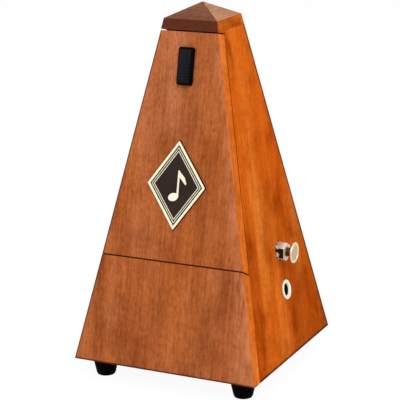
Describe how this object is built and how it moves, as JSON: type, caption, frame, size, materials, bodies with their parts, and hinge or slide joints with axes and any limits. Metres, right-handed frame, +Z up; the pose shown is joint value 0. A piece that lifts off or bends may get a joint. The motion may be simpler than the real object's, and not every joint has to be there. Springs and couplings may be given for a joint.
{
  "type": "pyramid metronome",
  "caption": "Wind-up pyramid metronome in stained wood: a tilting front cover with latch and badge hides a swinging pendulum, tempo scale, clockwork train, hammer and bell.",
  "frame": {"origin": "middle of the footprint, on the table under the feet", "axes": "+Z up, the front cover faces -Y, the keyhole and bell pull are on +X"},
  "size_m": [0.1174, 0.1174, 0.222],
  "materials": {
    "front_wood": "stained and satin varnished",
    "side_wood": "stained and satin varnished",
    "cap_wood": "stained and satin varnished",
    "inner_wood": "plain",
    "foot_rubber": "matt",
    "black_plastic": "satin black",
    "badge_dark": "dark brown",
    "badge_gold": "pale gold",
    "steel": "plain",
    "spring_steel": "blued",
    "nickel": "nickel plated",
    "scale_metal": "satin",
    "brass": "lacquered",
    "ivory_ring": "cream"
  },
  "bodies": {
    "case": {"base_board": "inner_wood", "left_side": "side_wood", "right_side": "side_wood", "back_panel": "side_wood", "lower_front": "front_wood", "top_cap": "cap_wood", "cap_plug": "inner_wood", "glue_blocks": "inner_wood", "feet": "foot_rubber", "foot_screws": "steel", "latch_keeper": "spring_steel", "scale_board": "inner_wood", "scale_plate": "scale_metal", "scale_screws": "steel", "rod_clip": "steel", "key_eyelet": "ivory_ring", "bell_bush": "nickel", "front_bearing": "steel", "rear_bearing": "steel", "left_plate": "steel", "right_plate": "steel", "frame_screws": "steel", "plate_pillars": "steel", "plate_screws": "steel", "click_spring": "spring_steel", "bell": "nickel", "bell_post": "steel", "bell_nut": "steel"},
    "cover": {"front_cover": "front_wood", "cover_tongues": "steel", "tongue_screws": "steel", "badge_base": "badge_dark", "badge_trim": "badge_gold", "badge_note": "badge_gold", "latch_spring": "spring_steel"},
    "latch": {"cover_latch": "black_plastic"},
    "pendulum": {"pendulum_arbor": "steel", "pendulum_rod": "steel", "pendulum_hub": "brass", "pendulum_bob": "brass", "pallets": "steel"},
    "weight": {"sliding_weight": "brass", "weight_clip": "spring_steel"},
    "winder": {"winding_arbor": "steel", "ratchet_wheel": "steel"},
    "barrel": {"barrel_drum": "brass", "great_wheel": "brass", "barrel_cover": "brass", "mainspring": "spring_steel"},
    "second": {"second_arbor": "steel", "second_wheel": "brass"},
    "escape": {"escape_arbor": "steel", "escape_wheel": "brass", "beat_cams": "brass"},
    "bell_pull": {"pull_rod": "steel", "pull_knob": "nickel", "pull_collars": "steel"},
    "hammer": {"hammer_arm": "steel", "hammer_head": "brass"}
  },
  "joints": [
    {"name": "cover_tilt", "type": "hinge", "parent": "case", "child": "cover", "pos_m": [0, -0.04551, 0.07629], "axis": [1, 0, 0], "range_deg": [0, 35], "deforming": ["latch_keeper"]},
    {"name": "latch_slide", "type": "slide", "parent": "cover", "child": "latch", "axis": [0, -0.2029, -0.9792], "range_m": [0, 0.004], "stiffness_N_per_m": 200, "deforming": ["latch_spring"]},
    {"name": "pendulum_swing", "type": "hinge", "parent": "case", "child": "pendulum", "pos_m": [0, -0.03561, 0.06888], "axis": [0, -0.9792, 0.2029], "range_deg": [-7, 7]},
    {"name": "weight_slide", "type": "slide", "parent": "pendulum", "child": "weight", "axis": [0, 0.2029, 0.9792], "range_m": [-0.037, 0.03]},
    {"name": "winding", "type": "hinge", "parent": "case", "child": "winder", "pos_m": [0, 0.007, 0.0506], "axis": [1, 0, 0], "continuous": true},
    {"name": "barrel_spin", "type": "hinge", "parent": "case", "child": "barrel", "pos_m": [0, 0.007, 0.0506], "axis": [1, 0, 0], "continuous": true},
    {"name": "second_spin", "type": "hinge", "parent": "case", "child": "second", "pos_m": [0, -0.01208, 0.04047], "axis": [1, 0, 0], "continuous": true},
    {"name": "escape_spin", "type": "hinge", "parent": "case", "child": "escape", "pos_m": [0, -0.02226, 0.05345], "axis": [1, 0, 0], "continuous": true},
    {"name": "bell_pull_slide", "type": "slide", "parent": "case", "child": "bell_pull", "axis": [1, 0, 0], "range_m": [0, 0.012]},
    {"name": "hammer_swing", "type": "hinge", "parent": "bell_pull", "child": "hammer", "pos_m": [0, 0.0075, 0.074], "axis": [1, 0, 0], "range_deg": [-6, 3], "stiffness_Nm_per_rad": 0.02}
  ],
  "couplings": [
    {"joint": "second_spin", "follows": "barrel_spin", "ratio": -5},
    {"joint": "escape_spin", "follows": "barrel_spin", "ratio": 22.5}
  ]
}
